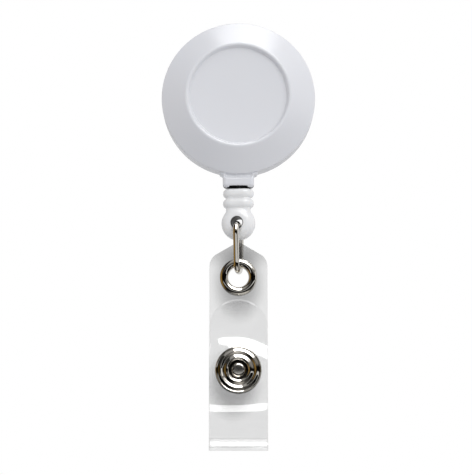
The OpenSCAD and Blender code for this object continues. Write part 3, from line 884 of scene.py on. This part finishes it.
def make_strap():
    """One strip in two pieces, so that the flap can open: the front layer with the fold, and the flap."""
    tip = STRAP_TOP - TIP_R / math.cos(TIP_SLOPE) + TIP_R
    zs = [tip - 1.4 * (1 - math.cos(a)) for a in np.linspace(0.07, math.pi / 2, 26)]
    zs += list(np.linspace(zs[-1], FOLD_Z, 170))[1:]
    low, toe = FOLD_Z - FOLD_R, -FOLD_R - 0.28
    turn = [(-LOOP, FOLD_Z, 0), (toe, FOLD_Z - 1.5, 0.35), (toe, low, 0.65)]
    turn += [(FOLD_R - 0.65, low, 1.3), (FOLD_R, FOLD_Z - 0.15, 0.6), (FOLD_R, FOLD_Z, 0)]
    fold = rounded(turn, closed=False, per=12)[1:]
    path = [(HANG, z) for z in zs] + [(HANG + LOOP + y, z) for y, z in fold]
    widths = [tip_width(z) for z in zs] + [STRAP_HALF] * len(fold)
    front = ribbon("strap_front_and_fold", path, widths, STRAP_T, 0.1, 34, front_layer)
    drill(front, 2.52, GROMMET_Z, HANG - 2, HANG + 2)
    drill(front, 2.37, SNAP_Z, HANG - 4, HANG)
    zs = list(np.linspace(FOLD_Z, FLAP_ROUND_Z, 110))
    zs += [FLAP_ROUND_Z + STRAP_HALF * math.sin(a) for a in np.linspace(0, math.pi / 2 - 0.05, 40)[1:]]
    widths = [math.sqrt(max(STRAP_HALF**2 - max(0, z - FLAP_ROUND_Z) ** 2, 0)) for z in zs]

    def curl(x, z):
        """The flap's round end bends back a little along its edge."""
        if z <= FLAP_ROUND_Z:
            return 0
        return 0.17 * (1 - step_down(math.hypot(x, z - FLAP_ROUND_Z), STRAP_HALF - 0.22, 0.42))

    path = [(HANG + rear_layer(z), z) for z in zs]
    flap = ribbon("strap_flap_layer", path, widths, STRAP_T, 0.1, 40, curl)
    drill(flap, 1.1, SNAP_Z, HANG, HANG + 4)
    finish(front, VINYL, "clear_vinyl", None, "strap_front", "strap_fold")
    finish(flap, VINYL_FLAP, "clear_vinyl", "flap", "strap_flap")
    start, end = (0, (HANG - 2.2) * MM, FOLD_Z * MM), (0, (HANG + 1.85) * MM, (FOLD_Z - 0.4456) * MM)
    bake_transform(front)
    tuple(start)
    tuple(end)


def make_grommet():
    """An eyelet, rolled over in front and split behind, and the washer that it is set in."""
    inner, outer, front, thick = 2.1, 3.85, STRAP_T / 2, 0.35
    back = -STRAP_T / 2 - thick
    half = (outer - inner) / 2
    roll = [(inner + half + half * math.cos(a), 0.85 * math.sin(a) ** 0.9) for a in np.linspace(math.pi, 0, 28)]
    profile = [(r, front + h, 0) for r, h in roll]
    profile += [(outer - 0.02, front - 0.02, 0), (inner + 0.4, front, 0), (inner + 0.4, back, 0)]
    lip = 0.48
    turns = np.linspace(0, math.pi, 18)
    profile += [(inner + lip + lip * math.cos(a), back - lip * math.sin(a), 0) for a in turns]

    def dents(r, h, a):
        """The rolled lip behind is a little uneven."""
        return 0.03 * math.sin(7 * a) if h < back - 0.1 else 0.0

    eyelet = lathe("grommet_eyelet", rounded(profile, per=2), HANG, GROMMET_Z, 160, dents)
    ring = [(outer, 0, 0.08), (outer, thick, 0.12), (inner + 0.42, thick, 0.05), (inner + 0.42, 0, 0.05)]
    ring = rounded([(r, back + h, e) for r, h, e in ring], per=3)
    finish(eyelet, NICKEL, "nickel", "strap", "grommet")
    washer = lathe("grommet_washer_ring", ring, HANG, GROMMET_Z, 128)
    finish(washer, NICKEL, "nickel", "strap", "grommet_washer")


def turned(start, *slopes):
    """Points of (radius, height) from start, for slopes of (radius, degrees); it falls where they are negative."""
    radii = np.linspace(slopes[0][0], slopes[-1][0], 90)
    rises = np.tan(np.radians(np.interp(radii, *zip(*slopes))))
    heights = start + np.concatenate([[0], np.cumsum((rises[1:] + rises[:-1]) / 2 * np.diff(radii))])
    return list(zip(radii, heights))


def make_snap():
    """The post and stud on the front layer, and the socket and cap on the flap. Heights count from the hang line."""
    face, gap = LAYER + STRAP_T / 2, LAYER - STRAP_T / 2
    edge, bore, wall = 4.7, 2.0, 0.35
    neck_r, ball_r, plate_r, socket_r, hole_r, pin_r = 1.3, 1.6, 3.3, 3.7, 1.66, 1.1

    inner_ring = [(2.08, 34), (2.3, 28), (2.45, 0), (2.6, -27), (3.0, -27), (3.15, 0)]
    outer_ring = [(3.28, 34), (3.6, 34), (3.72, 0), (3.84, -24), (4.2, -24), (4.34, 0)]
    rim = [(4.42, 30), (4.47, 30), (4.53, 0), (4.64, -50)]
    profile = [(bore, gap - 0.15), (bore, face + 0.22)] + turned(face + 0.3, *inner_ring, *outer_ring, *rim)
    profile += [(edge, face + 0.18), (edge, face + 0.04), (edge - 0.05, face)]
    profile += [(bore + wall, face), (bore + wall, gap - 0.15)]

    def crimps(r, h, a):
        """Shallow stamped flats round the valley between the rings."""
        inside = math.exp(-(((r - 3.05) / 0.4) ** 2)) if h > face + 0.1 else 0
        return inside * 0.07 * max(0.0, math.cos(3 * a + 0.4)) ** 2

    post = lathe("snap_post_flange", profile, HANG, SNAP_Z, 192, crimps, 45)
    dome = turned(1.5, (0, 0), (0.92, -4), (1.12, -20), (1.32, -38), (1.44, -60), (1.47, -75))
    stud = [(*p, 0) for p in dome] + [
        (1.48, 0.85, 0.1),
        (bore - 0.03, 0.8, 0.05),
        (bore - 0.03, gap - 0.02, 0),
        (plate_r, gap - 0.02, 0.1),
        (plate_r, 0.7, 0.1),
        (neck_r, 0.7, 0.05),
        (neck_r, 0.1, 0.1),
        (ball_r, 0.0, 0.1),
        (ball_r, -0.7, 0.3),
        (0, -0.7, 0),
    ]
    stud = lathe("snap_stud_button", rounded(stud, closed=False, per=4), HANG, SNAP_Z, 128)
    socket = [
        (pin_r, -gap, 0),
        (socket_r, -gap, 0.08),
        (socket_r, -0.75, 0.1),
        (2.6, -0.65, 0.12),
        (2.5, 0.5, 0.12),
        (2.35, 0.64, 0.06),
        (hole_r, 0.64, 0.04),
        (hole_r, 0.54, 0.03),
        (2.0, 0.54, 0),
        (2.0, 0.1, 0),
        (hole_r, 0.1, 0.03),
        (hole_r, -0.8, 0),
        (pin_r, -0.8, 0),
    ]
    socket = lathe("snap_socket_shell", rounded(socket, per=4), HANG, SNAP_Z, 128)
    cap_r, rise, pin = 4.8, 1.2, pin_r - 0.05
    crown = np.linspace(0, math.pi / 2, 30)
    cap = [(cap_r * math.sin(a) ** 0.8, -face - 0.1 - rise * math.cos(a), 0) for a in crown]
    cap += [(cap_r, -face - 0.02, 0.05), (cap_r - 0.2, -face, 0), (pin, -face, 0)]
    cap += [(pin, -gap + 0.15, 0), (0, -gap + 0.15, 0)]
    cap = lathe("snap_cap_dome", rounded(cap, closed=False, per=3), HANG, SNAP_Z, 160)
    finish(post, NICKEL, "nickel", "strap", "snap_post")
    finish(stud, SPUN, "nickel", "strap", "snap_stud")
    finish(socket, NICKEL, "nickel", "flap", "snap_socket")
    finish(cap, NICKEL, "nickel", "flap", "snap_cap")


def dress_inner_parts():
    """Materials for the pieces that keep their CAD shape."""
    for node, mat in (
        ("spool", WHITE),
        ("spring_cover", INNER),
        ("power_spring", SPRING),
        ("cord_winding", NYLON),
        ("cord_lead", NYLON),
        ("cord_knot", NYLON),
        ("snap_ring", SPRING),
    ):
        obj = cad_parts[node]
        obj.data.materials.clear()
        obj.data.materials.append(mat)


make_camera()
make_world()
make_floor()
softbox("key", 36, 16, 0.9, 0.62, 0.5, 2.3)
softbox("low_card", 15, -8, 0.7, 1.6, 0.1, 0.6, mirrored=True)
softbox("side_card", 62, 45, 0.9, 0.7, 0.5, 0.55, mirrored=True)
softbox("left_card", -20, 50, 0.9, 0.56, 0.6, 0.25, mirrored=True)
softbox("right_card", 75, 10, 0.9, 0.3, 0.4, 0.7, mirrored=True)
softbox("front_card", 17, 48, 0.9, 0.68, 0.66, 5.0, mirrored=True)
softbox("top_card", 30, 78, 0.9, 0.6, 0.55, 4.6, mirrored=True)
make_case()
make_clip()
make_cord_end()
make_cord()
make_link()
make_strap()
make_grommet()
make_snap()
dress_inner_parts()
